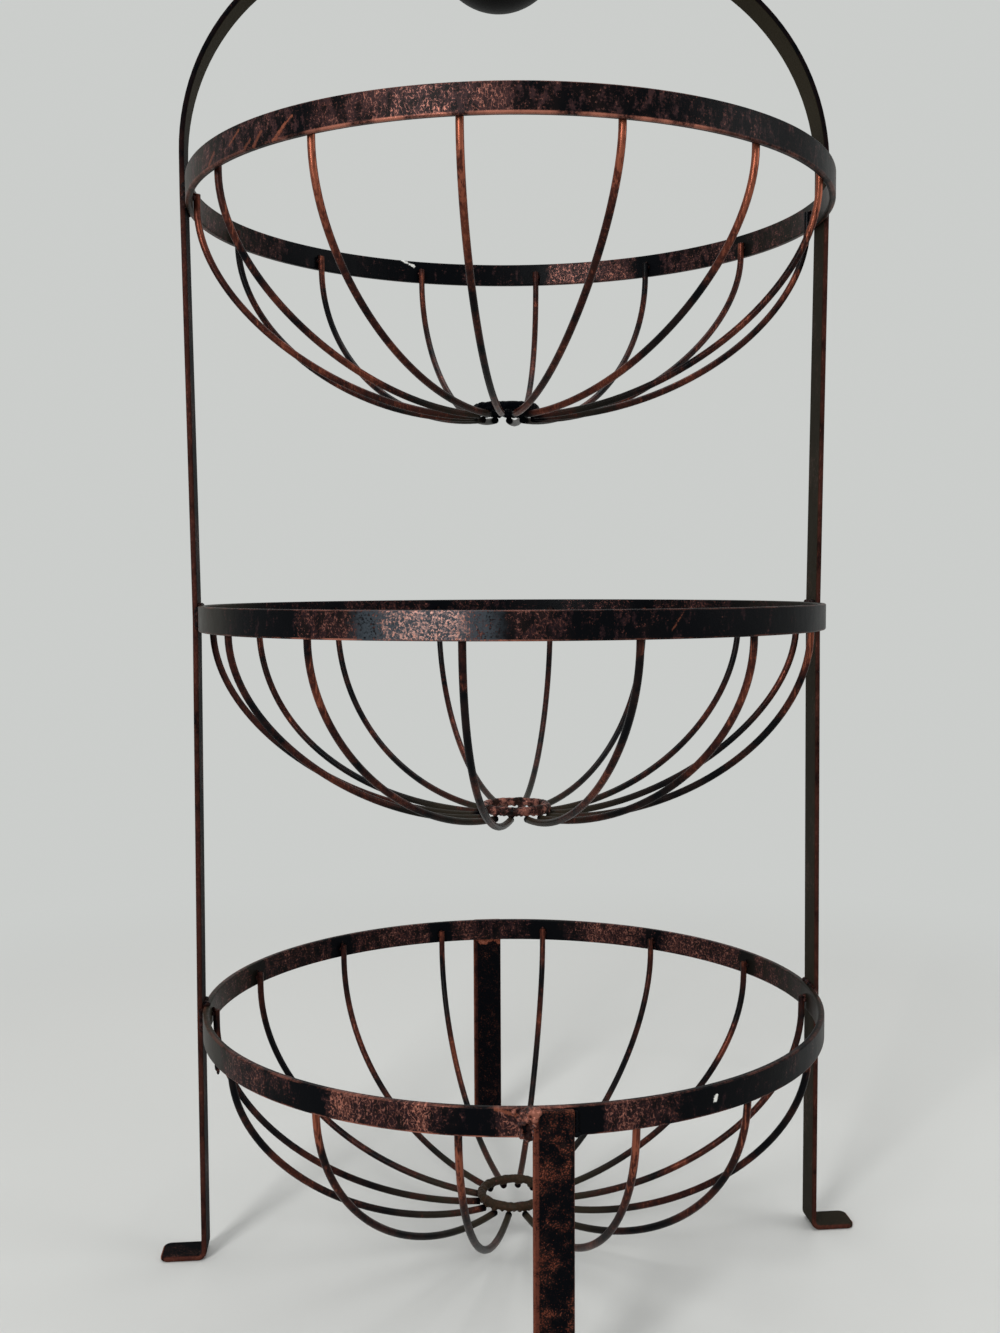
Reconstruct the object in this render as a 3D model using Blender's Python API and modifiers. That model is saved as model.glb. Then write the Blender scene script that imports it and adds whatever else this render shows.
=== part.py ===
# Three-tier standing basket: three wire bowls welded into one bent flat bar that ends in a grip
# Metres, +Z up, front towards -Y. The origin is the floor point under the middle of the bowls.

import math

import bmesh
import bpy
from mathutils import Vector
from mathutils.geometry import interpolate_bezier

# Flat bar of the arch and the legs
bar_width = 0.0165
bar_thick = 0.0025
foot_reach = 0.020
foot_bend_inner = 0.002
foot_corner = 0.004
shoulder_radius = 0.105
upright_above_band = 0.014
leg_below_band_top = 0.0005

# Flat band round the mouth of each bowl
band_height = 0.012
band_thick = 0.003
band_edge = 0.0004
bottom_radius = 0.1512
middle_radius = 0.1500
top_radius = 0.1525

# Heights: from the floor to the lowest wire, then from band to band
floor_clearance = 0.018
bottom_to_middle = 0.1937
middle_to_top = 0.1967

# Wire bowls: depth runs from the band's lower edge to the middle of the wire under the hub ring
bottom_depth = 0.0940
middle_depth = 0.0920
top_depth = 0.0942
rib_wire = 0.0033
rib_above_band_middle = 0.001

# Hub rings: radius of each ring's centre line, and how far it stands to the right of the middle
bottom_hub_radius = 0.0160
middle_hub_radius = 0.0155
top_hub_radius = 0.0140
bottom_hub_shift = 0.0
middle_hub_shift = 0.0015
top_hub_shift = -0.0024
hub_wire = 0.0040

# How far each bowl's ribs are turned about the middle, in degrees
bottom_turn = -1.1
middle_turn = -0.6
top_turn = 0.4

# Ribs as bent by hand, from the right of the front leg round to its left: degrees off the even step,
# and how full the bend is, where 0.55 is a quarter ellipse
bottom_bends = (
    (2.0, 0.54), (-1.0, 0.54), (-1.75, 0.50), (-0.5, 0.52), (-0.75, 0.52), (0.25, 0.50), (1.0, 0.40),
    (-0.75, 0.56), (-1.5, 0.58), (-0.75, 0.56), (-0.75, 0.52), (0.25, 0.48), (0.0, 0.52), (-0.5, 0.52),
)
middle_bends = (
    (2.25, 0.50), (0.0, 0.52), (-1.0, 0.52), (3.0, 0.48), (0.75, 0.52), (1.5, 0.56), (-1.5, 0.50),
    (-1.0, 0.54), (-1.0, 0.56), (-2.0, 0.58), (-2.0, 0.50), (0.5, 0.48), (-1.5, 0.50), (0.0, 0.60),
)
top_bends = (
    (-2.25, 0.40), (-2.75, 0.48), (-3.5, 0.50), (0.5, 0.50), (0.75, 0.44), (0.75, 0.50), (0.75, 0.58),
    (1.25, 0.48), (0.5, 0.52), (1.25, 0.50), (2.0, 0.48), (1.0, 0.48), (0.5, 0.52), (-0.75, 0.50),
)

# Ball grip threaded on the flat top of the arch
grip_diameter = 0.063
grip_shift = -0.005
grip_slot_clearance = 0.0003

# Gap kept between pieces that are welded together, overrun of cutters, distance that joins doubles
seam = 0.0003
overrun = 0.002
merge_distance = 0.00001

# Fineness of the round shapes
band_steps = 84
hub_steps = 28
hub_sides = 8
rib_steps = 10
wire_resolution = 2
bend_steps = 4
shoulder_steps = 14
corner_steps = 3
grip_segments = 32
grip_rings = 16
sharp_angle = math.radians(35)

# Finishes: linear colour, roughness and metallic value
finishes = {
    "bar": ((0.030, 0.012, 0.008), 0.48, 0.75),
    "band": ((0.038, 0.015, 0.011), 0.45, 0.75),
    "wire": ((0.026, 0.011, 0.008), 0.42, 0.75),
    "grip": ((0.002, 0.002, 0.002), 0.60, 0.0),
}


def bowl(name, radius, depth, middle_height, turn, bends, hub_radius, hub_shift):
    """Sizes of one tier, all worked out from its driving dimensions."""
    lowest_wire = middle_height - band_height / 2 - depth
    return {
        "name": name,
        "radius": radius,
        "depth": depth,
        "height": middle_height,
        "turn": math.radians(turn),
        "bends": bends,
        "rib_radius": radius - band_thick - seam - rib_wire / 2,
        "hub_radius": hub_radius,
        "hub_shift": hub_shift,
        "hub_height": lowest_wire + rib_wire / 2 + seam + hub_wire / 2,
        "bar_line": radius + seam + bar_thick / 2,
    }


bottom_height = floor_clearance + rib_wire / 2 + bottom_depth + band_height / 2
middle_height = bottom_height + bottom_to_middle
top_height = middle_height + middle_to_top
bottom_bowl = bowl(
    "bottom",
    bottom_radius,
    bottom_depth,
    bottom_height,
    bottom_turn,
    bottom_bends,
    bottom_hub_radius,
    bottom_hub_shift,
)
middle_bowl = bowl(
    "middle",
    middle_radius,
    middle_depth,
    middle_height,
    middle_turn,
    middle_bends,
    middle_hub_radius,
    middle_hub_shift,
)
top_bowl = bowl(
    "top", top_radius, top_depth, top_height, top_turn, top_bends, top_hub_radius, top_hub_shift
)
bowls = [bottom_bowl, middle_bowl, top_bowl]


def clear_scene():
    """Remove the objects of the file this runs in."""
    for thing in list(bpy.data.objects):
        bpy.data.objects.remove(thing, do_unlink=True)


def new_collection(name):
    """Make a collection and hang it under the scene."""
    collection = bpy.data.collections.new(name)
    bpy.context.scene.collection.children.link(collection)
    return collection


def move_to(thing, collection):
    """Leave the object in one collection only."""
    for holder in list(thing.users_collection):
        holder.objects.unlink(thing)
    collection.objects.link(thing)


def finish_material(name, kind):
    """Principled material of one piece."""
    colour, roughness, metallic = finishes[kind]
    material = bpy.data.materials.new(name + "_finish")
    material.use_nodes = True
    shader = material.node_tree.nodes["Principled BSDF"]
    shader.inputs["Base Color"].default_value = (*colour, 1.0)
    shader.inputs["Roughness"].default_value = roughness
    shader.inputs["Metallic"].default_value = metallic
    return material


def add_piece(name, data, kind, parent, turn=0.0):
    """Put a mesh or a curve into the scene as a named piece carried by an empty."""
    piece = bpy.data.objects.new(name, data)
    parts.objects.link(piece)
    piece.parent = parent
    piece.rotation_euler = (0.0, 0.0, turn)
    add_finish(piece, kind)
    return piece


def add_finish(piece, kind):
    """Give the piece its own material, on the object so that shared data stays shared."""
    if not piece.data.materials:
        piece.data.materials.append(None)
    piece.material_slots[0].link = "OBJECT"
    piece.material_slots[0].material = finish_material(piece.name, kind)


def baked_mesh(source, name):
    """Mesh of an object with its modifiers applied, doubles welded and round sides smooth."""
    bpy.context.view_layer.update()
    graph = bpy.context.evaluated_depsgraph_get()
    mesh = bpy.data.meshes.new_from_object(source.evaluated_get(graph))
    mesh.name = name
    shape = bmesh.new()
    shape.from_mesh(mesh)
    bmesh.ops.remove_doubles(shape, verts=shape.verts, dist=merge_distance)
    shape.to_mesh(mesh)
    shape.free()
    mesh.shade_smooth()
    mesh.set_sharp_from_angle(angle=sharp_angle)
    bpy.data.objects.remove(source, do_unlink=True)
    return mesh


def arc(centre, radius, start, end, steps):
    """Points along an arc, both ends included."""
    turn = (end - start) / steps
    return [
        (
            centre[0] + radius * math.cos(start + turn * step),
            centre[1] + radius * math.sin(start + turn * step),
        )
        for step in range(steps + 1)
    ]


def foot_line(line):
    """Centre line of a foot, from its tip to the top of its bend, under a bar that stands at line."""
    bend = foot_bend_inner + bar_thick / 2
    tip = line + bar_thick / 2 + foot_reach
    floor_line = bar_thick / 2
    points = [(tip, floor_line)]
    points += arc((line + bend, floor_line + bend), bend, -math.pi / 2, -math.pi, bend_steps)
    return points


def upright_line():
    """Centre line of one side of the arch: foot, upright along the bands, shoulder."""
    points = foot_line(bottom_bowl["bar_line"])
    points += [(tier["bar_line"], tier["height"]) for tier in bowls]
    shoulder = shoulder_radius - bar_thick / 2
    shoulder_start = top_height + band_height / 2 + upright_above_band
    centre = (top_bowl["bar_line"] - shoulder, shoulder_start)
    points += arc(centre, shoulder, 0.0, math.pi / 2, shoulder_steps)
    return points


def bent_bar(name, line, tips):
    """Solid flat bar bent along a line in the XZ plane, with its tips' corners rounded."""
    curve = bpy.data.curves.new(name + "_line", "CURVE")
    curve.dimensions = "2D"
    curve.fill_mode = "NONE"
    curve.extrude = bar_width / 2
    spline = curve.splines.new("POLY")
    spline.points.add(len(line) - 1)
    for point, (across, up) in zip(spline.points, line):
        point.co = (across, up, 0.0, 1.0)
    ribbon = bpy.data.objects.new(name + "_ribbon", curve)
    parts.objects.link(ribbon)
    mesh = baked_mesh(ribbon, name)
    round_tips(mesh, tips)
    return thickened(mesh, name)


def round_tips(mesh, tips):
    """Round the ribbon's corners that lie at the given places along its width."""
    shape = bmesh.new()
    shape.from_mesh(mesh)
    corners = [
        vert
        for vert in shape.verts
        if any(abs(vert.co.x - across) + abs(vert.co.y - up) < seam for across, up in tips)
    ]
    bmesh.ops.bevel(
        shape,
        geom=corners,
        offset=foot_corner,
        offset_type="OFFSET",
        segments=corner_steps,
        profile=0.5,
        affect="VERTICES",
    )
    shape.to_mesh(mesh)
    shape.free()


def thickened(mesh, name):
    """Mesh of a ribbon with the bar's thickness, half to each side."""
    sheet = bpy.data.objects.new(name + "_sheet", mesh)
    parts.objects.link(sheet)
    solid = sheet.modifiers.new("thickness", "SOLIDIFY")
    solid.thickness = bar_thick
    solid.offset = 0.0
    solid.use_even_offset = True
    return baked_mesh(sheet, name)


def stand_up(piece, turn):
    """Turn a piece drawn in its XY plane so that it stands, facing the given way."""
    piece.rotation_euler = (math.pi / 2, 0.0, turn)


def add_arch(origin):
    """One bar from foot to foot: up the left side, over the grip and down the right side."""
    right = upright_line()
    left = [(-across, up) for across, up in right]
    tips = [right[0], left[0]]
    mesh = bent_bar("arch_frame", left + right[::-1], tips)
    stand_up(add_piece("arch_frame", mesh, "bar", origin), 0.0)


def add_legs(origin):
    """Short legs on the outside of the bottom band, one in front and one behind."""
    top = bottom_height + band_height / 2 - leg_below_band_top
    line = foot_line(bottom_bowl["bar_line"])
    tips = [line[0]]
    line.append((bottom_bowl["bar_line"], top))
    mesh = bent_bar("leg", line, tips)
    stand_up(add_piece("front_leg", mesh, "bar", origin), -math.pi / 2)
    stand_up(add_piece("rear_leg", mesh, "bar", origin), math.pi / 2)


def band_mesh(tier):
    """Flat band turned round the axis: its section runs down the outside and up the inside."""
    outer = tier["radius"]
    inner = outer - band_thick
    half = band_height / 2
    section = [(outer, 0, half), (outer, 0, -half), (inner, 0, -half), (inner, 0, half)]
    mesh = bpy.data.meshes.new("band_section")
    mesh.from_pydata(section, [(0, 1), (1, 2), (2, 3), (3, 0)], [])
    ring = bpy.data.objects.new("band_section", mesh)
    parts.objects.link(ring)
    screw = ring.modifiers.new("turned", "SCREW")
    screw.axis = "Z"
    screw.angle = 2 * math.pi
    screw.steps = band_steps
    screw.render_steps = band_steps
    screw.use_merge_vertices = True
    screw.merge_threshold = merge_distance
    edge = ring.modifiers.new("worn edges", "BEVEL")
    edge.width = band_edge
    edge.segments = 1
    edge.limit_method = "ANGLE"
    edge.angle_limit = sharp_angle
    return baked_mesh(ring, tier["name"] + "_band")


def add_hub(tier, carrier):
    """Round wire ring lying on the inner ends of the ribs."""
    bpy.ops.mesh.primitive_torus_add(
        major_radius=tier["hub_radius"],
        minor_radius=hub_wire / 2,
        major_segments=hub_steps,
        minor_segments=hub_sides,
    )
    hub = bpy.context.active_object
    hub.name = tier["name"] + "_hub_ring"
    hub.data.shade_smooth()
    move_to(hub, parts)
    hub.parent = carrier
    hub.location = (tier["hub_shift"], 0.0, tier["hub_height"] - tier["height"])
    add_finish(hub, "wire")


def rib_line(tier, turn, fullness):
    """Centre line of one rib from the band down and in to its end under the hub ring."""
    start = Vector((tier["rib_radius"], 0.0, -band_height / 2))
    end = Vector((
        tier["hub_radius"] + tier["hub_shift"] * math.cos(turn),
        -tier["hub_shift"] * math.sin(turn),
        start.z - tier["depth"],
    ))
    outwards = Vector((start.x - end.x, -end.y, 0.0))
    bend = interpolate_bezier(
        start,
        start - Vector((0.0, 0.0, fullness * tier["depth"])),
        end + fullness * outwards,
        end,
        rib_steps + 1,
    )
    return [Vector((start.x, 0.0, rib_above_band_middle)), *bend]


def rib_curve(tier, turn, fullness):
    """Round wire bent along the rib's line, which starts on the X axis."""
    curve = bpy.data.curves.new(tier["name"] + "_rib", "CURVE")
    curve.dimensions = "3D"
    curve.bevel_depth = rib_wire / 2
    curve.bevel_resolution = wire_resolution
    curve.use_fill_caps = True
    line = rib_line(tier, turn, fullness)
    spline = curve.splines.new("POLY")
    spline.points.add(len(line) - 1)
    spline.use_smooth = True
    for point, place in zip(spline.points, line):
        point.co = (*place, 1.0)
    return curve


def add_ribs(tier, carrier):
    """Ribs near even steps round the bowl, with the front of the basket between two of them."""
    pitch = 2 * math.pi / len(tier["bends"])
    front = -math.pi / 2
    for index, (off_step, fullness) in enumerate(tier["bends"]):
        turn = front + pitch * (index + 0.5) + tier["turn"] + math.radians(off_step)
        name = "{}_rib_{:02d}".format(tier["name"], index + 1)
        add_piece(name, rib_curve(tier, turn, fullness), "wire", carrier, turn)


def add_bowl(tier, origin):
    """Band, hub ring and ribs of one tier, carried by an empty in the middle of its band."""
    carrier = bpy.data.objects.new(tier["name"] + "_middle", None)
    parts.objects.link(carrier)
    carrier.parent = origin
    carrier.location = (0.0, 0.0, tier["height"])
    add_piece(tier["name"] + "_ring", band_mesh(tier), "band", carrier)
    add_hub(tier, carrier)
    add_ribs(tier, carrier)


def add_grip(origin):
    """Ball threaded on the flat top of the arch, with a slot through it for the bar."""
    arch_top = top_height + band_height / 2 + upright_above_band + shoulder_radius
    centre = (grip_shift, 0.0, arch_top - bar_thick / 2)
    bpy.ops.mesh.primitive_uv_sphere_add(
        radius=grip_diameter / 2, segments=grip_segments, ring_count=grip_rings
    )
    grip = bpy.context.active_object
    grip.name = "grip_ball"
    move_to(grip, parts)
    grip.parent = origin
    grip.location = centre
    bpy.ops.mesh.primitive_cube_add(size=1)
    slot = bpy.context.active_object
    slot.name = "grip_slot_cutter"
    slot.scale = (
        grip_diameter + 2 * overrun,
        bar_width + 2 * grip_slot_clearance,
        bar_thick + 2 * grip_slot_clearance,
    )
    slot.location = centre
    slot.hide_render = True
    slot.display_type = "WIRE"
    move_to(slot, cutters)
    cut = grip.modifiers.new("bar slot", "BOOLEAN")
    cut.operation = "DIFFERENCE"
    cut.solver = "EXACT"
    cut.object = slot
    grip.data.shade_smooth()
    add_finish(grip, "grip")


def build():
    """Make the whole basket under one empty at the floor."""
    origin = bpy.data.objects.new("tiered_basket_origin", None)
    parts.objects.link(origin)
    add_arch(origin)
    add_legs(origin)
    for tier in bowls:
        add_bowl(tier, origin)
    add_grip(origin)


clear_scene()
parts = new_collection("tiered_basket")
cutters = new_collection("cutters")
build()
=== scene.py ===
import math
import random

import bmesh
import bpy
from mathutils import Matrix, Vector


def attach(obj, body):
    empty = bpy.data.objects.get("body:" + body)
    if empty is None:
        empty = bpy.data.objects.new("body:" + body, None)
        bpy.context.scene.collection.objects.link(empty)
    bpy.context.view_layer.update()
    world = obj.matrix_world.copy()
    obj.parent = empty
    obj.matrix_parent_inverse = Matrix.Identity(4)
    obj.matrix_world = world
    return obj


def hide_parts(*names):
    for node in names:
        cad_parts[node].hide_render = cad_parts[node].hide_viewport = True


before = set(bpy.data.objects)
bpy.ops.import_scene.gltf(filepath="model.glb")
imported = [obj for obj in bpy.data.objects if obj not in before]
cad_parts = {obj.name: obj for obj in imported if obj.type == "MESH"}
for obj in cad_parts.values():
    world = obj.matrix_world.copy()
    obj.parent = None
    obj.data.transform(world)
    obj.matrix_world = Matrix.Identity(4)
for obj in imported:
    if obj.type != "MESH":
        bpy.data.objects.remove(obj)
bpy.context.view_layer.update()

# Each tier: radius and middle of its band, middle of the lowest wire, radius of the hub ring and how
# far that stands to the right; how coppery the wires are in front and at the top, and how olive
# near the hub
tiers = {
    "bottom": {
        "radius": 0.1512, "height": 0.11965, "lowest": 0.01965, "hub": 0.0160, "aside": 0.0,
        "frontFilm": 0.01, "topFilm": 0.10, "haze": 0.85,
    },
    "middle": {
        "radius": 0.1500, "height": 0.31335, "lowest": 0.21535, "hub": 0.0155, "aside": 0.0015,
        "frontFilm": 0.00, "topFilm": 0.02, "haze": 0.70,
    },
    "top": {
        "radius": 0.1525, "height": 0.51005, "lowest": 0.40985, "hub": 0.0140, "aside": -0.0024,
        "frontFilm": 0.09, "topFilm": 0.12, "haze": 0.40,
    },
}


# Every wire follows its own CAD rib: how many a bowl has, how deep the upper end is read, and how
# near the middle of its bend a corner has to lie, as a share of the bend
ribs = {"count": 14, "headDepth": 0.001, "middleShare": 0.05}


def ribCorners(key, index):
    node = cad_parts["{}_rib_{:02d}".format(key, index + 1)]
    return [vertex.co for vertex in node.data.vertices]


def middleOf(corners):  # middle of the box round some corners
    return Vector([(min(values) + max(values)) / 2 for values in zip(*corners)])


def wireTurn(key, index):  # where the upper end of a rib stands round the upright axis
    corners = ribCorners(key, index)
    top = max(corner.z for corner in corners)
    head = middleOf([corner for corner in corners if corner.z > top - ribs["headDepth"]])
    return math.atan2(head.y, head.x)


def wireFullness(key, index, upper, lower):  # how full a rib bends: 0.55 is a quarter ellipse
    across = Vector((upper.x - lower.x, upper.y - lower.y, 0))
    depth = upper.z - lower.z
    middle = []  # where the bend has come as far down its depth as it is out along its width
    for corner in ribCorners(key, index):
        outShare = (corner - lower).dot(across) / across.length_squared
        downShare = (upper.z - corner.z) / depth
        if abs(outShare - downShare) < ribs["middleShare"]:
            middle.append(corner)
    # there a bend hangs below halfway by three eighths of its fullness
    return ((upper.z - middleOf(middle).z) / depth - 0.5) * 8 / 3


# ---- working in Blender by operators

def clearSelection():
    if bpy.context.object and bpy.context.object.mode != "OBJECT":
        bpy.ops.object.mode_set(mode="OBJECT")
    bpy.ops.object.select_all(action="DESELECT")


def choose(*things):
    clearSelection()
    for thing in things:
        thing.select_set(True)
    bpy.context.view_layer.objects.active = things[0]


def named(name):  # what an operator has just added
    thing = bpy.context.active_object
    thing.name = name
    thing.data.name = name
    return thing


def settle(thing):  # place, turn and size go into the mesh
    choose(thing)
    bpy.ops.object.transform_apply(location=True, rotation=True, scale=True)


def startEditing(thing, mode="VERT"):
    choose(thing)
    bpy.ops.object.mode_set(mode="EDIT")
    bpy.ops.mesh.select_mode(type=mode)
    bpy.ops.mesh.select_all(action="DESELECT")


def pick(thing, test, kind="verts"):  # selects what lies where test says
    shape = bmesh.from_edit_mesh(thing.data)
    for part in getattr(shape, kind):
        spots = [part.co] if kind == "verts" else [corner.co for corner in part.verts]
        part.select_set(all(test(spot) for spot in spots))
    shape.select_flush_mode()
    bmesh.update_edit_mesh(thing.data)


def stopEditing():
    bpy.ops.object.mode_set(mode="OBJECT")


def cleanShell(thing):  # doubles go first, then the faces are turned outwards
    startEditing(thing)
    bpy.ops.mesh.select_all(action="SELECT")
    bpy.ops.mesh.remove_doubles(threshold=0.00001)
    bpy.ops.mesh.normals_make_consistent(inside=False)
    stopEditing()


def addModifier(thing, kind, **settings):
    modifier = thing.modifiers.new(kind.lower(), kind)
    for key, value in settings.items():
        setattr(modifier, key, value)
    choose(thing)
    bpy.ops.object.modifier_apply(modifier=modifier.name)


def smooth(thing, degrees=40):
    choose(thing)
    bpy.ops.object.shade_smooth_by_angle(angle=math.radians(degrees))


def joined(things, name):
    choose(*things)
    if len(things) > 1:
        bpy.ops.object.join()
    return named(name)


def copyOf(thing, name):
    choose(thing)
    bpy.ops.object.duplicate(linked=False)
    return named(name)


def turned(thing, angle):  # turns about the upright axis through the middle of the bowls
    thing.rotation_euler.z = angle
    settle(thing)


def finished(piece, material, nodes=()):
    piece.data.materials.clear()
    piece.data.materials.append(material)
    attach(piece, "root")
    if nodes:
        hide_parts(*nodes)
    return piece


# ---- shader maths

class Value:  # a socket that takes part in arithmetic
    def __init__(self, paint, socket):
        self.paint = paint
        self.socket = socket

    def maths(self, operation, first, second):
        return self.paint.node("ShaderNodeMath", {"operation": operation}, {0: first, 1: second})

    def __add__(self, other):
        return self.maths("ADD", self, other)

    __radd__ = __add__

    def __sub__(self, other):
        return self.maths("SUBTRACT", self, other)

    def __rsub__(self, other):
        return self.maths("SUBTRACT", other, self)

    def __mul__(self, other):
        return self.maths("MULTIPLY", self, other)

    __rmul__ = __mul__

    def __truediv__(self, other):
        return self.maths("DIVIDE", self, other)

    def __pow__(self, other):
        return self.maths("POWER", abs(self), other)

    def __or__(self, other):  # the larger of two masks
        return self.maths("MAXIMUM", self, other)

    def __abs__(self):
        return self.paint.node("ShaderNodeMath", {"operation": "ABSOLUTE"}, {0: self})


class Paint:  # one material, built node by node
    def __init__(self, name):
        self.material = bpy.data.materials.new(name)
        self.material.use_nodes = True
        self.tree = self.material.node_tree
        self.shader = self.tree.nodes["Principled BSDF"]
        self.at = self.node("ShaderNodeTexCoord", out="Object")
        self.x, self.y, self.z = (
            self.node("ShaderNodeSeparateXYZ", {}, {0: self.at}, out=axis) for axis in "XYZ"
        )

    def node(self, kind, settings=None, sockets=None, out=0):
        made = self.tree.nodes.new(kind)
        for key, value in (settings or {}).items():
            if key == "stops":
                ramp = made.color_ramp
                while len(ramp.elements) < len(value):
                    ramp.elements.new(0.5)
                for element, (position, colour) in zip(ramp.elements, value):
                    element.position = position
                    element.color = (*colour, 1.0)
            else:
                setattr(made, key, value)
        for key, value in (sockets or {}).items():
            self.feed(made.inputs[key], value)
        return Value(self, made.outputs[out])

    def feed(self, socket, value):
        if isinstance(value, Value):
            self.tree.links.new(value.socket, socket)
        elif socket.type == "RGBA" and len(value) == 3:
            socket.default_value = (*value, 1.0)
        else:
            socket.default_value = value

    def set(self, **sockets):  # Base_Color and the like, straight on the shader
        for key, value in sockets.items():
            self.feed(self.shader.inputs[key.replace("_", " ")], value)

    def noise(self, scale, detail=2.0, rough=0.5, at=None, seed=0.0):
        return self.node(
            "ShaderNodeTexNoise",
            {"noise_dimensions": "4D"},
            {"Vector": at or self.at, "W": seed, "Scale": scale, "Detail": detail, "Roughness": rough},
        )

    def stretch(self, *sizes, at=None):
        return self.node(
            "ShaderNodeVectorMath", {"operation": "MULTIPLY"}, {0: at or self.at, 1: sizes}
        )

    def vector(self, x, y, z):
        return self.node("ShaderNodeCombineXYZ", {}, {0: x, 1: y, 2: z})

    def ease(self, value, low, high):  # 0 up to low, 1 from high on
        return self.node(
            "ShaderNodeMapRange",
            {"interpolation_type": "SMOOTHSTEP"},
            {0: value, 1: low, 2: high},
        )

    def blend(self, mask, first, second):
        return self.node("ShaderNodeMix", {"data_type": "RGBA"}, {0: mask, 6: first, 7: second}, out=2)

    def fromLine(self, across, up, start, end):  # distance from a straight line between two points
        run, climb = end[0] - start[0], end[1] - start[1]
        dot = ((across - start[0]) * run + (up - start[1]) * climb) / (run * run + climb * climb)
        share = self.node("ShaderNodeMapRange", {}, {0: dot})
        return ((across - start[0] - share * run) ** 2.0 + (up - start[1] - share * climb) ** 2.0) ** 0.5

    def away(self, at=None):  # distance from the middle, or the length of another vector
        return self.node(
            "ShaderNodeVectorMath", {"operation": "LENGTH"}, {0: at or self.at}, out="Value"
        )

    def angle(self):  # round the upright axis
        return self.node("ShaderNodeMath", {"operation": "ARCTAN2"}, {0: self.y, 1: self.x})

    def bump(self, height, distance, strength=1.0):
        return self.node(
            "ShaderNodeBump", {}, {"Height": height, "Distance": distance, "Strength": strength}
        )


# Flat bar of the arch and the two short legs
bar = {
    "width": 0.0165,
    "thick": 0.0025,
    "footTip": 0.1740,
    "bendLine": 0.00325,
    "footCorner": 0.004,
    "edgeRound": 0.0010,
    "gap": 0.0003,
    "shoulderLine": 0.10375,
    "shoulderStart": 0.53005,
    "legTop": 0.12515,
}


# ---- the finish: copper brushed over a black coat

tones = {
    "soot": (0.0012, 0.0015, 0.0024),
    "umber": (0.0100, 0.0060, 0.0056),
    "plum": (0.0200, 0.0095, 0.0110),
    "mulberry": (0.0340, 0.0165, 0.0175),
    "olive": (0.0290, 0.0235, 0.0145),
    "slateSheen": (0.044, 0.054, 0.064),
    "film": (0.034, 0.0105, 0.0080),
    "rust": (0.070, 0.0255, 0.0200),
    "copper": (0.195, 0.084, 0.066),
    "rim": (0.240, 0.088, 0.062),
    "brightRim": (0.400, 0.150, 0.100),
    "pinkSheen": (0.600, 0.340, 0.280),
    "darkRust": (0.044, 0.0140, 0.0105),
    "darkCopper": (0.120, 0.044, 0.032),
    "wipe": (0.098, 0.0275, 0.0170),
    "brightWipe": (0.270, 0.082, 0.046),
    "edge": (0.20, 0.062, 0.035),
    "ember": (0.062, 0.0165, 0.0105),
    "flame": (0.200, 0.058, 0.034),
    "chip": (0.74, 0.74, 0.70),
}


def brushedCopper(paint, daubs, grain, clump, edge, look, seed, haze=0.0, glow=0.0, vein=0.0):
    soft = paint.noise(look["toneScale"], 2.0, 0.5, seed=seed + 3.1)
    start = look["start"]
    level = grain * 0.85 + clump * 0.25 + daubs * (look["pull"] + vein * 0.20) - 0.05
    speckle = paint.ease(level, start, start + look["softness"]) * look["cover"]
    bright = paint.ease(level + soft * 0.22, start + 0.15, start + 0.27)
    thin = paint.ease(clump * 0.6 + grain * 0.4 + daubs * 0.25, 0.56, 0.68) * look["filmCover"]
    spark = paint.ease(level + (soft - 0.5) * 0.2, start + 0.17, start + 0.22) * look["spark"]
    worn = edge * paint.ease(grain * 0.4 + soft * 0.6, 0.38, 0.58) * look["edgeCover"]
    warm = paint.ease(soft * 0.5 + daubs * 0.6, 0.36, 0.72)
    ground = paint.blend(warm, tones["soot"], tones["umber"])
    # haze tints the coat olive: at the bands' far left and right a painted reflection, on the hub rings
    # their own olive colour
    ground = paint.blend(haze, ground, tones["olive"])
    ground = paint.blend(thin, ground, tones[look["filmTone"]])
    metal = paint.blend(bright, tones[look["lowTone"]], tones[look["highTone"]])
    # glow paints a pink highlight on the copper where a band faces the key light
    metal = paint.blend(glow, metal, tones["pinkSheen"])
    colour = paint.blend(speckle, ground, metal)
    colour = paint.blend(spark, colour, tones["brightRim"])
    colour = paint.blend(worn, colour, tones[look["edgeTone"]])
    mask = speckle | worn
    paint.set(
        Metallic=0.32 * mask,
        Roughness=look["rough"] + 0.12 * soft - 0.04 * mask,
        Specular_IOR_Level=look["shine"],
    )
    return colour


bandLook = {
    "grainScale": 1000.0,
    "toneScale": 90.0,
    "pull": 0.17,
    "start": 0.622,
    "softness": 0.050,
    "cover": 0.94,
    "filmCover": 0.80,
    "filmTone": "plum",
    "lowTone": "rust",
    "highTone": "copper",
    "rough": 0.31,
    "shine": 0.04,
    "edgeWidth": 0.0009,
    "edgeCover": 0.90,
    "edgeTone": "rim",
    "spark": 0.7,
    "bumpHeight": 0.00012,
}

# What differs from band to band; rim is the copper along the lower edge, topRim along the upper one;
# brightFrom and brightTo, in degrees, bound the side that faces the key light, where those edges get a
# painted highlight
bandLooks = {
    "bottom": {"rim": 0.55, "topRim": 0.25, "brightFrom": -148, "brightTo": -90},
    "middle": {"rim": 0.45, "topRim": 0.30, "brightFrom": -140, "brightTo": -98},
    "top": {
        "rim": 0.40, "topRim": 0.05, "brightFrom": -134, "brightTo": -70, "start": 0.600, "softness": 0.110,
        "cover": 0.78, "filmCover": 0.90, "filmTone": "mulberry", "edgeWidth": 0.0013,
    },
}


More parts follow.
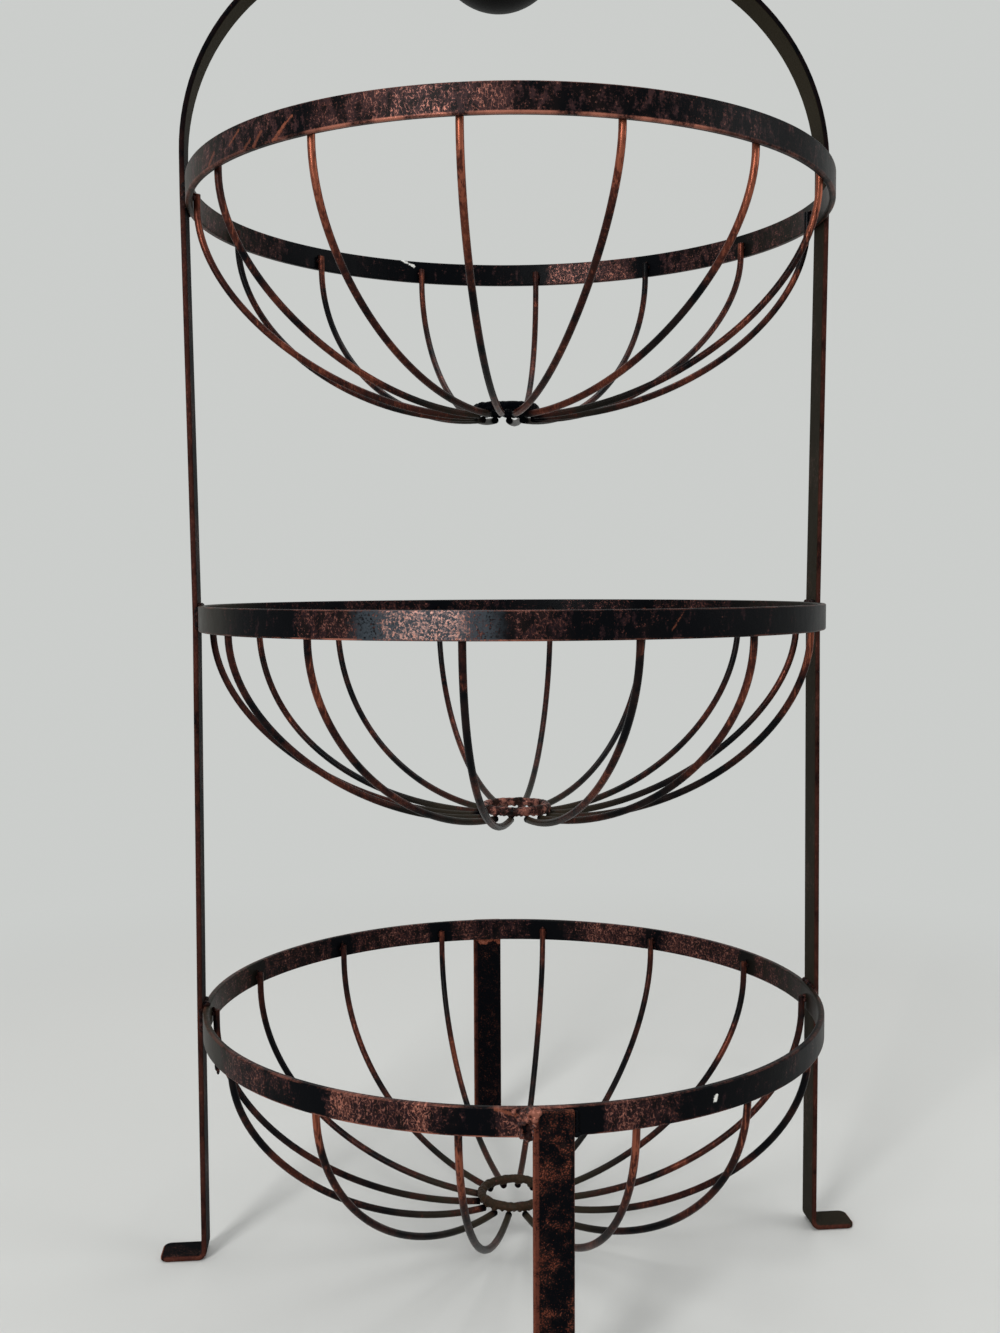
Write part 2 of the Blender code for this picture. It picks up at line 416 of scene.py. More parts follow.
# How thick the copper lies round each band: degrees round the upright axis, -90 is the front
bandDaubs = {
    "bottom": [
        (-180, 0.05), (-154, 0.10), (-152, 0.55), (-140, 0.48), (-138.5, 0.25), (-133, 0.20),
        (-132, 0.00), (-126.5, 0.00), (-125.5, 0.95), (-121, 0.85), (-119.5, 0.50), (-113, 0.55),
        (-112, 0.95), (-109.5, 0.90), (-108.5, 0.45), (-104.5, 0.35), (-103.5, 0.02), (-99, 0.05),
        (-98, 0.75), (-88, 0.60), (-87, 0.00), (-83, 0.02), (-82, 0.68), (-70, 0.42), (-67, 0.05),
        (-46, 0.15), (0, 0.30), (32, 0.60), (64, 0.75), (73, 0.12), (95, 0.55), (137, 0.45),
    ],
    "middle": [
        (-180, 0.05), (-160, 0.10), (-142, 0.15), (-132, 0.05), (-130, 0.50), (-121, 0.45),
        (-118, 0.15), (-115, 0.75), (-103, 0.85), (-101, 0.30), (-97, 0.25), (-94, 0.55),
        (-88, 0.30), (-72, 0.22), (-70, 0.15), (-55, 0.10), (-40, 0.00), (0, 0.15), (40, 0.45),
        (80, 0.25), (110, 0.45), (150, 0.20),
    ],
    "top": [
        (-180, 0.15), (-160, 0.35), (-135, 0.40), (-127, 0.30), (-124, 0.50), (-116, 0.55),
        (-98, 0.60), (-94, 0.36), (-80, 0.28), (-62, 0.32), (-50, 0.20), (0, 0.30), (24, 0.45),
        (34, 0.40), (46, 0.40), (50, 0.15), (52, 0.50), (64, 0.60), (66, 0.62), (76, 0.60),
        (78, 0.10), (93, 0.20), (100, 0.05), (125, 0.08), (137, 0.05), (141, 0.40), (170, 0.40),
    ],
}


# Scratches and chips on the bands, and one painted shade: degrees and rise at both ends, width, cover,
# tone; millimetres
bandMarks = {
    "bottom": [
        (-63.0, -0.4, -62.8, 1.4, 1.9, 1.0, "chip"),
        (-98.6, 5.6, -93.0, 1.0, 1.6, 0.7, "edge"),
        # painted shade: the pit in the weld heap left of the front leg, painted black
        (-94.1, -3.8, -93.9, -1.0, 3.2, 1.0, "soot"),
    ],
    "middle": [(-71.0, -2.2, -68.8, 5.6, 0.7, 0.45, "edge")],
    "top": [
        (-133.9, -5.6, -129.8, 2.0, 1.3, 0.85, "edge"),
        (-133.2, -5.4, -131.4, -1.2, 1.5, 0.60, "edge"),
        (-144.8, -1.0, -142.0, 3.2, 1.4, 0.60, "edge"),
        (-138.2, -5.4, -136.4, -0.6, 1.9, 0.50, "edge"),
        (-140.4, -4.6, -139.0, -2.4, 1.6, 0.40, "edge"),
        (-152.0, -4.4, -150.0, -1.0, 2.0, 0.40, "edge"),
        (108.8, 5.8, 106.0, 3.0, 1.5, 1.0, "chip"),
    ],
}


def bandFinish(name, key, seed):
    paint = Paint(name)
    look = dict(bandLook, **bandLooks[key])
    tier = tiers[key]
    along = paint.angle() * tier["radius"]
    rise = paint.z - tier["height"]
    flat = paint.vector(along, paint.z, seed)
    ragged = paint.noise(1.0, 3.0, 0.7, at=paint.stretch(170.0, 260.0, 1.0, at=flat), seed=seed + 6.6)
    spots = [((degrees + 180) / 360, (cover, cover, cover)) for degrees, cover in bandDaubs[key]]
    share = paint.angle() / (2 * math.pi) + 0.5 + (ragged - 0.5) * 0.012
    broad = paint.node("ShaderNodeValToRGB", {"stops": spots}, {0: share})
    patch = paint.noise(1.0, 2.0, 0.5, at=paint.stretch(95.0, 60.0, 1.0, at=flat), seed=seed)
    grown = paint.stretch(330.0, 170.0, 1.0, at=flat)
    clump = paint.noise(1.0, 3.0, 0.6, at=grown, seed=seed + 5.3)
    out = paint.away(paint.stretch(1, 1, 0))
    outside = paint.ease(out, tier["radius"] - 0.0020, tier["radius"] - 0.0010)
    burnt = 0.0  # the weld's heat has blackened the inner face round each wire's top
    for index in range(ribs["count"]):
        spot = (wireTurn(key, index) / (2 * math.pi) + 0.5) % 1.0
        burnt = paint.ease(abs(share - spot), 0.0095, 0.0040) | burnt
    daubs = broad + (patch - 0.5) * 0.75 - burnt * (1.0 - outside) * 0.55
    upright = paint.stretch(950.0, 150.0, 1.0, at=flat)
    strokes = paint.noise(1.0, 3.0, 0.6, at=upright, seed=seed + 1.7)
    lengthways = paint.stretch(200.0, 1300.0, 1.0, at=flat)
    streaks = paint.noise(1.0, 3.0, 0.6, at=lengthways, seed=seed + 2.9)
    fine = paint.noise(look["grainScale"], 3.0, 0.68, seed=seed + 4.2)
    winding = paint.stretch(620.0, 360.0, 1.0, at=flat)
    worms = paint.noise(1.0, 1.0, 0.5, at=winding, seed=seed + 7.7)
    vein = paint.ease(abs(worms - 0.5), 0.034, 0.010)
    grain = fine * 0.66 + strokes * outside * 0.16 + streaks * (0.34 - outside * 0.16)
    half = band["height"] / 2
    near, far = half - look["edgeWidth"], half - look["edgeWidth"] * 0.5
    degrees = share * 360 - 180
    # lit marks the side facing the key light; there the copper edges are partly wear, partly a painted
    # highlight
    lit = paint.ease(degrees, look["brightFrom"], look["brightFrom"] + 12)
    lit = lit * paint.ease(degrees, look["brightTo"] + 12, look["brightTo"])
    lower = paint.ease(0.0 - rise, near, far) * outside
    upper = paint.ease(rise, 0.00535, 0.00570) * outside
    edge = lower * (look["rim"] + lit * 0.6) | upper * (look["topRim"] + lit * 0.3)
    edge = edge * paint.ease(patch * 0.6 + fine * 0.4 + broad * 0.18, 0.42, 0.62)
    # Painted reflection: the band's ends, seen at a slant, are tinted olive as if they mirrored the pale
    # room
    sideSheen = paint.ease(0.0 - paint.x, tier["radius"] * 0.80, tier["radius"] * 0.98) * 0.6
    sideSheen = sideSheen | paint.ease(paint.x, tier["radius"] * 0.80, tier["radius"] * 0.98) * 0.3
    glow = 0.0
    if key == "middle":  # the brightest patch, facing the light
        # Painted highlight: there the copper dots are painted pink, standing in for the key light's sheen
        glow = paint.ease(degrees, -117, -114) * paint.ease(degrees, -101.9, -104.0)
    colour = brushedCopper(
        paint, daubs, grain, clump, edge, look, seed, haze=sideSheen, glow=glow * 0.65, vein=vein
    )
    # Painted highlight: a bright copper line along the lower edge on the side facing the light
    paintedEdgeHighlight = lower * lit * paint.ease(patch, 0.42, 0.60)
    colour = paint.blend(paintedEdgeHighlight * 0.7, colour, tones["brightRim"])
    if key == "middle":  # painted reflection: a grey-blue sheen round that patch
        paintedSheen = paint.ease(degrees, -122, -118) * paint.ease(degrees, -95.8, -100.1)
        paintedSheen = paintedSheen * paint.ease(grain, 0.60, 0.48)
        colour = paint.blend(paintedSheen * 0.8, colour, tones["slateSheen"])
    for startAt, startRise, endAt, endRise, width, cover, tone in bandMarks[key]:
        start = (math.radians(startAt) * tier["radius"], startRise / 1000)
        end = (math.radians(endAt) * tier["radius"], endRise / 1000)
        away = paint.fromLine(along, rise, start, end)
        away = away + (fine - 0.5) * 0.0026 + (clump - 0.5) * 0.0012
        mark = paint.ease(away, width / 2000 + 0.0001, width / 2000 - 0.0005) * cover
        colour = paint.blend(mark, colour, tones[tone])
    paint.set(
        Base_Color=colour,
        Normal=paint.bump(fine * 0.6 + patch * 2.0, look["bumpHeight"]),
    )
    return paint.material


barLook = {
    "grainScale": 1600.0,
    "toneScale": 120.0,
    "pull": 0.20,
    "start": 0.612,
    "softness": 0.060,
    "cover": 0.92,
    "filmCover": 0.85,
    "filmTone": "umber",
    "lowTone": "darkRust",
    "highTone": "darkCopper",
    "rough": 0.36,
    "shine": 0.03,
    "edgeWidth": 0.0012,
    "edgeCover": 0.60,
    "edgeTone": "edge",
    "spark": 0.4,
    "bumpHeight": 0.00014,
}


def legFinish(name, seed, amount, edgeTone, patchTop):
    paint = Paint(name)
    look = dict(barLook, edgeTone=edgeTone, lowTone="ember", highTone="flame", softness=0.045)
    patch = paint.noise(85.0, 3.0, 0.6, seed=seed)
    clump = paint.noise(260.0, 3.0, 0.6, seed=seed + 5.3)
    fine = paint.noise(look["grainScale"], 3.0, 0.72, seed=seed + 4.2)
    half, edgeWidth = bar["width"] / 2, look["edgeWidth"]
    left = paint.ease(0.0 - paint.x, half - edgeWidth, half - edgeWidth * 0.3)
    right = paint.ease(paint.x, half - edgeWidth * 0.5, half)
    rim = paint.ease(paint.z, bar["legTop"] - 0.0011, bar["legTop"] - 0.0004)
    daubs = paint.ease(patch, 0.34, 0.66) * amount
    daubs = daubs | paint.ease(paint.z + (patch - 0.5) * 0.02, 0.1105, 0.1125) * patchTop
    edge = left | right * 0.8 | rim * 0.8
    colour = brushedCopper(paint, daubs, fine, clump, edge, look, seed)
    # The left edge is rounded and faces the key light: its copper strip and bright rubbed line are partly
    # copper wear, partly a painted highlight
    leftWipeAndHighlight = paint.ease(0.0 - paint.x, 0.0055, 0.0064)
    leftWipeAndHighlight = leftWipeAndHighlight * paint.ease(fine * 0.5 + clump * 0.5, 0.36, 0.54) * min(1.0, amount * 1.3)
    colour = paint.blend(leftWipeAndHighlight, colour, tones["wipe"])
    rubbedAndHighlit = left * amount * paint.ease(patch * 0.5 + fine * 0.5, 0.40, 0.60)
    colour = paint.blend(rubbedAndHighlit, colour, tones["flame"])
    paint.set(
        Base_Color=colour,
        Normal=paint.bump(fine * 0.7 + patch * 2.0, look["bumpHeight"]),
    )
    return paint.material


def archFinish(name, seed):
    paint = Paint(name)
    look = dict(barLook, start=0.640, edgeWidth=0.0008, rough=0.50, shine=0.015)
    patch = paint.noise(38.0, 3.0, 0.55, seed=seed)
    drawn = paint.stretch(300.0, 300.0, 110.0)
    clump = paint.noise(1.0, 3.0, 0.6, at=drawn, seed=seed + 5.3)
    hairs = paint.stretch(1300.0, 1300.0, 520.0)
    fine = paint.noise(1.0, 3.0, 0.65, at=hairs, seed=seed + 4.2)
    half, edgeWidth = bar["width"] / 2, look["edgeWidth"]
    low = paint.ease(paint.z, 0.560, 0.470)  # the copper fades out above the top bowl
    edge = paint.ease(abs(paint.y), half - edgeWidth, half - edgeWidth * 0.3)
    daubs = paint.ease(patch, 0.40, 0.66) * low * 0.6
    worn = edge * (low * 0.22 + 0.03 + paint.ease(paint.z, 0.006, 0.003) * 0.5)
    colour = brushedCopper(paint, daubs + edge * low * 0.3, fine, clump, worn, look, seed)
    foot = paint.ease(abs(paint.x), bar["footTip"] - 0.0010, bar["footTip"] - 0.0004)
    colour = paint.blend(foot * 0.7, colour, tones["edge"])
    front = paint.ease(0.0 - paint.y, 0.0068, 0.0078) * low
    front = front * paint.ease(patch * 0.6 + clump * 0.4, 0.34, 0.60)
    colour = paint.blend(front * 0.75, colour, tones["darkRust"])
    # Painted reflection: smooth olive grey above the top bowl and down the right side, standing in for the
    # sheen of the pale room
    inner = paint.ease(paint.z, 0.520, 0.560) | paint.ease(paint.x, 0.140, 0.150) * 0.65
    inner = inner * (1.0 - edge) * (1.0 - foot)
    paint.set(
        Base_Color=paint.blend(inner * 0.9, colour, tones["olive"]),
        Normal=paint.bump(fine * 0.7 + patch * 2.0, look["bumpHeight"]),
    )
    return paint.material


wireLook = {
    "grainScale": 420.0,
    "patchScale": 24.0,
    "rough": 0.27,
    "shine": 0.06,
    "bumpHeight": 0.00007,
}


def wireFinish(name, seed, tier):  # copper wiped thinly over the black, so its edges are soft
    paint = Paint(name)
    look = wireLook
    patch = paint.noise(look["patchScale"], 2.0, 0.55, seed=seed)
    soft = paint.noise(90.0, 2.0, 0.5, seed=seed + 2.2)
    fine = paint.noise(look["grainScale"], 4.0, 0.65, seed=seed + 4.2)
    out = paint.away(paint.stretch(1, 1, 0))
    hub = paint.ease(out, 0.080, 0.018)  # olive haze towards the hub
    top = paint.ease(paint.z, tier["height"] - 0.055, tier["height"] - 0.008)
    front = paint.ease(paint.y, 0.020, -0.030)
    leftEnd = paint.ease(0.0 - paint.x, tier["radius"] * 0.75, tier["radius"] * 0.88)
    top = top * (1.0 - leftEnd) * (front * 0.75 + 0.25)
    film = patch + (soft - 0.5) * 0.35 + (fine - 0.5) * 0.40
    film = film + top * tier["topFilm"] + front * tier["frontFilm"] - hub * 0.10
    ground = paint.blend(paint.ease(soft, 0.38, 0.66), tones["soot"], tones["umber"])
    ground = paint.blend(hub * tier["haze"], ground, tones["olive"])
    thin = paint.ease(film, 0.43, 0.59)
    thick = paint.ease(film, 0.56, 0.72)
    colour = paint.blend(thin * 0.9, ground, tones["film"])
    colour = paint.blend(thick, colour, tones["wipe"])
    streak = paint.noise(1.0, 3.0, 0.6, at=paint.stretch(900.0, 900.0, 60.0), seed=seed + 8.4)
    streak = paint.ease(streak + top * tier["topFilm"] + thick * 0.08, 0.56, 0.72)
    colour = paint.blend(streak * (top * 0.5 + 0.4) * thin, colour, tones["brightWipe"])
    ends = paint.ease(out, tier["hub"] + 0.0060, tier["hub"] + 0.0020)
    colour = paint.blend(ends * 0.95, colour, tones["soot"])
    paint.set(
        Base_Color=colour,
        Metallic=0.25 * thin + 0.35 * thick,
        Roughness=look["rough"] + 0.14 * soft,
        Specular_IOR_Level=look["shine"] * (1.0 - ends),
        Normal=paint.bump(fine + soft, look["bumpHeight"]),
    )
    return paint.material


weldLook = {
    "grainScale": 800.0,
    "toneScale": 240.0,
    "pull": 0.20,
    "start": 0.60,
    "softness": 0.14,
    "cover": 0.80,
    "rough": 0.32,
    "filmCover": 0.80,
    "filmTone": "plum",
    "lowTone": "rust",
    "edgeCover": 0.15,
    "edgeTone": "edge",
    "spark": 0.3,
    "bumpHeight": 0.00020,
}


def weldFinish(name, seed, amount, haze, least=0.0, highTone="copper", shine=0.03):
    paint = Paint(name)
    look = dict(weldLook, highTone=highTone, shine=shine)
    patch = paint.noise(160.0, 2.0, 0.5, seed=seed)
    fine = paint.noise(look["grainScale"], 4.0, 0.65, seed=seed + 4.2)
    daubs = paint.ease(patch, 0.38, 0.66) * amount + least
    edge = fine if least >= 0 else 0.0  # blackened metal has no copper on its lumps
    paint.set(
        Base_Color=brushedCopper(paint, daubs, fine, patch, edge, look, seed, haze),
        Normal=paint.bump(fine + patch * 2.0, look["bumpHeight"]),
    )
    return paint.material


def gripFinish(name):
    paint = Paint(name)
    broad = paint.noise(60.0, 3.0, 0.5, seed=2.0)
    fine = paint.noise(1400.0, 3.0, 0.6, seed=6.0)
    black = paint.blend(paint.ease(broad, 0.4, 0.7), (0.0014, 0.0012, 0.0012), (0.0030, 0.0026, 0.0024))
    paint.set(
        Base_Color=black,
        Roughness=0.42 + 0.12 * fine,
        Metallic=0.0,
        Specular_IOR_Level=0.06,
        Normal=paint.bump(fine + broad, 0.00008),
    )
    return paint.material


# ---- flat bar: the arch and the two short legs

def barLine(tier):  # the bar's middle stands just outside a band
    return tier["radius"] + bar["gap"] + bar["thick"] / 2


def footPlate(name):  # the flat of one foot, then its bend; the bend's last edge stays selected
    line = barLine(tiers["bottom"])
    start = line + bar["bendLine"]
    bpy.ops.mesh.primitive_plane_add(
        size=1, location=((start + bar["footTip"]) / 2, 0, bar["thick"] / 2)
    )
    plate = named(name)
    plate.scale = (bar["footTip"] - start, bar["width"], 1)
    settle(plate)
    startEditing(plate)
    pick(plate, lambda spot: spot.x > bar["footTip"] - 0.0001)
    bpy.ops.mesh.bevel(offset=bar["footCorner"], segments=7, affect="VERTICES")
    bpy.ops.mesh.select_mode(type="EDGE")
    pick(plate, lambda spot: spot.x < start + 0.0001, "edges")
    bpy.ops.mesh.spin(
        steps=8,
        angle=math.pi / 2,
        center=(start, 0, bar["thick"] / 2 + bar["bendLine"]),
        axis=(0, -1, 0),
    )
    return plate


def drawOn(points):  # extrudes the selected edge from point to point
    for (x, z), (nextX, nextZ) in zip(points, points[1:]):
        bpy.ops.mesh.extrude_edges_move(
            TRANSFORM_OT_translate={"value": (nextX - x, 0, nextZ - z)}
        )


def thicken(plate):
    addModifier(plate, "SOLIDIFY", thickness=bar["thick"], offset=0.0, use_even_offset=True)
    cleanShell(plate)
    addModifier(
        plate,
        "BEVEL",
        width=bar["edgeRound"],
        segments=4,
        limit_method="ANGLE",
        angle_limit=math.radians(40),
    )
    smooth(plate)
    addModifier(plate, "WEIGHTED_NORMAL", weight=50, keep_sharp=True)


def makeArch():
    arch = footPlate("arch_bar")
    line = barLine(tiers["bottom"])
    bendTop = bar["thick"] / 2 + bar["bendLine"]
    points = [(line, bendTop)]
    for key in ("bottom", "middle", "top"):
        points.append((barLine(tiers[key]), tiers[key]["height"]))
    points.append((points[-1][0], bar["shoulderStart"]))
    drawOn(points)
    middle = points[-1][0] - bar["shoulderLine"]
    bpy.ops.mesh.spin(
        steps=30, angle=math.pi / 2, center=(middle, 0, bar["shoulderStart"]), axis=(0, 1, 0)
    )
    bpy.ops.mesh.extrude_edges_move(TRANSFORM_OT_translate={"value": (-middle, 0, 0)})
    stopEditing()
    addModifier(arch, "MIRROR", use_axis=(True, False, False), merge_threshold=0.0002)
    thicken(arch)
    return arch


def makeLeg():
    leg = footPlate("leg")
    line = barLine(tiers["bottom"])
    bendTop = bar["thick"] / 2 + bar["bendLine"]
    drawOn([(line, bendTop), (line, bar["legTop"])])
    stopEditing()
    thicken(leg)
    return leg


print("flat bar: arch and legs")
archBar = makeArch()
finished(archBar, archFinish("aged_copper_arch", 1.0), ["arch_frame"])
frontLeg = makeLeg()
rearLeg = copyOf(frontLeg, "leg_rear")
frontLeg.name = frontLeg.data.name = "leg_front"
turned(frontLeg, -math.pi / 2)
turned(rearLeg, math.pi / 2)
frontPaint = legFinish("aged_copper_front_leg", 11.0, 0.70, "edge", 0.3)
rearPaint = legFinish("aged_copper_rear_leg", 17.0, 0.22, "edge", 1.4)
finished(frontLeg, frontPaint, ["front_leg"])
finished(rearLeg, rearPaint, ["rear_leg"])


# ---- bands

band = {"height": 0.012, "thick": 0.003, "round": 0.0007, "steps": 180}


def makeBand(key):
    tier = tiers[key]
    bpy.ops.mesh.primitive_cylinder_add(
        vertices=band["steps"],
        radius=tier["radius"],
        depth=band["height"],
        end_fill_type="NOTHING",
        location=(0, 0, tier["height"]),
    )
    hoop = named("band_" + key)
    settle(hoop)
    addModifier(hoop, "SOLIDIFY", thickness=band["thick"], offset=-1.0, use_even_offset=True)
    cleanShell(hoop)
    addModifier(
        hoop,
        "BEVEL",
        width=band["round"],
        segments=3,
        limit_method="ANGLE",
        angle_limit=math.radians(40),
    )
    smooth(hoop)
    addModifier(hoop, "WEIGHTED_NORMAL", weight=50, keep_sharp=True)
    return hoop


print("bands")
for number, key in enumerate(tiers):
    material = bandFinish("aged_copper_band_" + key, key, 21.0 + 6 * number)
    finished(makeBand(key), material, [key + "_ring"])


# ---- wires of the bowls

wire = {
    "thick": 0.0033,
    "gap": 0.0003,
    "aboveMiddle": 0.001,
    "endPlay": (0.0003, 0.0014),
    "steps": 40,
    "endRound": 0.0007,
}


def makeWire(key, index, name):  # one wire of a bowl, drawn as a curve on the +X side, then turned
    tier = tiers[key]
    turn = wireTurn(key, index)
    out = Vector((math.cos(turn), math.sin(turn), 0))
    outer = tier["radius"] - band["thick"] - wire["gap"] - wire["thick"] / 2
    rim = tier["height"] - band["height"] / 2
    depth = rim - tier["lowest"]
    upper = out * outer + Vector((0, 0, rim))
    lower = out * tier["hub"] + Vector((tier["aside"], 0, tier["lowest"]))
    full = wireFullness(key, index, upper, lower)
    end = tier["hub"] + tier["aside"] * math.cos(turn) + chance.uniform(*wire["endPlay"])
    aside = -tier["aside"] * math.sin(turn)
    bpy.ops.curve.primitive_bezier_curve_add(location=(0, 0, 0))
    curve = named(name)
    spline = curve.data.splines[0]
    spline.bezier_points.add(1)
    places = [
        ((outer, 0, tier["height"] + wire["aboveMiddle"]), (0, 0, -0.001), (0, 0, 0.001)),
        ((outer, 0, rim), (0, 0, -full * depth), (0, 0, 0.002)),
        ((end, aside, tier["lowest"]), (-0.002, 0, 0), (full * (outer - end), -full * aside, 0)),
    ]
    for point, (place, onward, back) in zip(spline.bezier_points, places):
        point.handle_left_type = point.handle_right_type = "FREE"
        point.co = place
        point.handle_right = Vector(place) + Vector(onward)
        point.handle_left = Vector(place) + Vector(back)
    curve.data.resolution_u = wire["steps"]
    curve.data.bevel_depth = wire["thick"] / 2
    curve.data.bevel_resolution = 4
    curve.data.use_fill_caps = True
    choose(curve)
    bpy.ops.object.convert(target="MESH")
    rod = named(name)
    cleanShell(rod)
    addModifier(
        rod,
        "BEVEL",
        width=wire["endRound"],
        segments=3,
        limit_method="ANGLE",
        angle_limit=math.radians(60),
    )
    smooth(rod, 60)
    turned(rod, turn)
    return rod


print("wires")
wireFinishes = {
    key: wireFinish("aged_copper_wire_" + key, 41.0 + 5 * number, tiers[key])
    for number, key in enumerate(tiers)
}
chance = random.Random(4)
for key in tiers:
    for index in range(ribs["count"]):
        number = "{:02d}".format(index + 1)
        rod = makeWire(key, index, key + "_wire_" + number)
        finished(rod, wireFinishes[key], [key + "_rib_" + number])


# ---- hub rings with the welds that hold the wires

hub = {
    "thick": 0.0042,
    "gap": 0.0002,
    "lump": 0.0017,
    "voxel": 0.00036,
    "roughness": 0.00100,
}
clouds = bpy.data.textures.new("weld_clouds", "CLOUDS")
clouds.noise_scale = 0.0022
clouds.noise_depth = 2


def makeLump(name, place, size):  # one drop of weld metal
    bpy.ops.mesh.primitive_ico_sphere_add(subdivisions=3, radius=1, location=place)
    drop = named(name)
    drop.scale = size
    settle(drop)
    return drop


def fuse(things, name, voxel, roughness):  # lumps run together into one bead
    bead = joined(things, name)
    addModifier(bead, "REMESH", mode="VOXEL", voxel_size=voxel, use_smooth_shade=True)
    addModifier(bead, "DISPLACE", texture=clouds, texture_coords="LOCAL", strength=roughness, mid_level=0.5)
    addModifier(bead, "SMOOTH", factor=0.5, iterations=2)
    settle(bead)
    smooth(bead, 180)
    return bead


def makeHub(key):
    tier = tiers[key]
    wireTop = tier["lowest"] + wire["thick"] / 2
    bpy.ops.mesh.primitive_torus_add(
        major_radius=tier["hub"],
        minor_radius=hub["thick"] / 2,
        major_segments=64,
        minor_segments=14,
        location=(tier["aside"], 0, wireTop + hub["gap"] + hub["thick"] / 2),
    )
    parts = [named("hub_" + key)]
    for index in range(ribs["count"]):
        turn = wireTurn(key, index)
        for share in (-0.16, 0.0, 0.16):  # weld metal between ring and wire, and to each side
            spread = turn + share * chance.uniform(0.6, 1.2)
            reach = tier["hub"] + chance.uniform(-0.0004, 0.0014)
            swell = chance.uniform(0.85, 1.15) if share == 0 else chance.uniform(0.50, 0.80)
            size = hub["lump"] * swell
            place = (
                tier["aside"] + reach * math.cos(spread),
                reach * math.sin(spread),
                wireTop + 0.0004 + chance.uniform(-0.0002, 0.0004),
            )
            parts.append(makeLump("drop", place, (size, size, size * 0.75)))
    return fuse(parts, "hub_" + key, hub["voxel"], hub["roughness"])


print("hub rings")
hubFinishes = {
    "bottom": weldFinish("aged_copper_hub_bottom", 71.0, 0.10, 0.70),
    "middle": weldFinish("aged_copper_hub_middle", 74.0, 1.20, 0.10, 0.35),
    "top": weldFinish("aged_copper_hub_top", 77.0, 0.0, 0.0, -0.6, shine=0.01),
}
for key in tiers:
    finished(makeHub(key), hubFinishes[key], [key + "_hub_ring"])


# ---- weld beads along the bars and at the wires' tops

weld = {"bead": 0.0013, "voxel": 0.00030, "roughness": 0.00040, "wireDrop": 0.0009}


def beadAlong(start, end, count, size):  # a row of drops from start to end
    drops = []
    for step in range(count):
        share = (step + 0.5) / count
        place = Vector(start).lerp(Vector(end), share)
        place += Vector([chance.uniform(-0.0002, 0.0002) for _ in range(3)])
        sizes = [size * chance.uniform(0.85, 1.20) for _ in range(3)]
        drops.append(makeLump("drop", place, sizes))
    return drops


def barWelds(key, side):  # bar against band: both edges of the bar and the band's top
    tier = tiers[key]
    face = tier["radius"] + bar["gap"]
    drops = []
    for edge in (-1, 1):
        across = edge * (bar["width"] / 2 + 0.0002)
        start = (side * (face + 0.0002), across, tier["height"] - 0.0052)
        end = (side * (face + 0.0002), across, tier["height"] + 0.0052)
        drops += beadAlong(start, end, 7, weld["bead"])
    top = tier["height"] + band["height"] / 2 + 0.0001
    start = (side * (face - 0.0006), -0.0068, top)
    end = (side * (face - 0.0006), 0.0068, top)
    drops += beadAlong(start, end, 8, weld["bead"] * 0.85)
    name = "weld_{}_{}".format(key, "left" if side < 0 else "right")
    return fuse(drops, name, weld["voxel"], weld["roughness"])


def legWelds(name, side, edges):  # leg against the bottom band, along the leg's edges
    tier = tiers["bottom"]
    face = tier["radius"] + bar["gap"]
    drops = []
    for edge, size in edges:
        across = edge * (bar["width"] / 2 + 0.0006)
        start = (across, side * (face + 0.0003), tier["height"] - 0.0052)
        end = (across, side * (face + 0.0003), tier["height"] + 0.0048)
        drops += beadAlong(start, end, 7, weld["bead"] * size)
        low = (across + edge * 0.0004, side * (face + 0.0004), tier["height"] - 0.0050)
        drops.append(makeLump("drop", low, (0.0022 * size, 0.0016 * size, 0.0015 * size)))
    return fuse(drops, name, weld["voxel"], weld["roughness"])


# Weld metal heaped left of the front leg: across, rise above the band's middle, how far it stands
# out from the band, size; millimetres. The drops run round a pit
heap = [
    (-5.6, 4.9, 2.2, 1.5), (-7.6, 5.0, 1.9, 1.8), (-9.8, 4.9, 1.0, 1.9), (-12.0, 3.9, 0.5, 1.8),
    (-13.2, 2.0, 0.2, 1.4), (-13.4, -0.4, 0.2, 1.3), (-12.8, -2.8, 0.3, 1.3), (-12.0, -5.0, 0.4, 1.4),
    (-10.0, -6.0, 0.8, 1.3), (-8.2, -5.0, 1.6, 1.2), (-7.8, -2.8, 1.9, 1.1), (-7.7, -0.4, 2.1, 1.2),
    (-7.4, 2.2, 2.2, 1.5), (-10.2, 2.0, 0.9, 1.7), (-11.6, 0.4, 0.4, 1.3), (-15.4, 4.4, -0.2, 1.2),
    (-6.4, 3.6, 2.3, 1.2),
]


def heapedWeld():
    tier = tiers["bottom"]
    drops = []
    for across, rise, out, size in heap:
        x = across / 1000
        y = -math.sqrt(tier["radius"] ** 2 - x * x) - out / 1000
        sizes = [size / 1000 * chance.uniform(0.9, 1.15) for _ in range(3)]
        drops.append(makeLump("drop", (x, y, tier["height"] + rise / 1000), sizes))
    return fuse(drops, "weld_heap_front", weld["voxel"], weld["roughness"] * 1.3)


def runs():  # weld metal that ran down or was left in a lump: place and size in millimetres
    drops = []
    for place, size in (
        ((-139.5, -54.9, 113.0), (1.3, 1.3, 2.4)),
        ((-139.2, -54.8, 110.6), (0.8, 0.8, 1.7)),
        ((-149.6, -5.0, 126.2), (1.9, 1.7, 1.6)),
        ((151.6, -8.8, 122.6), (1.5, 2.0, 3.0)),
    ):
        place = [value / 1000 for value in place]
        drops.append(makeLump("drop", place, [value / 1000 for value in size]))
    return fuse(drops, "weld_runs", weld["voxel"], weld["roughness"])


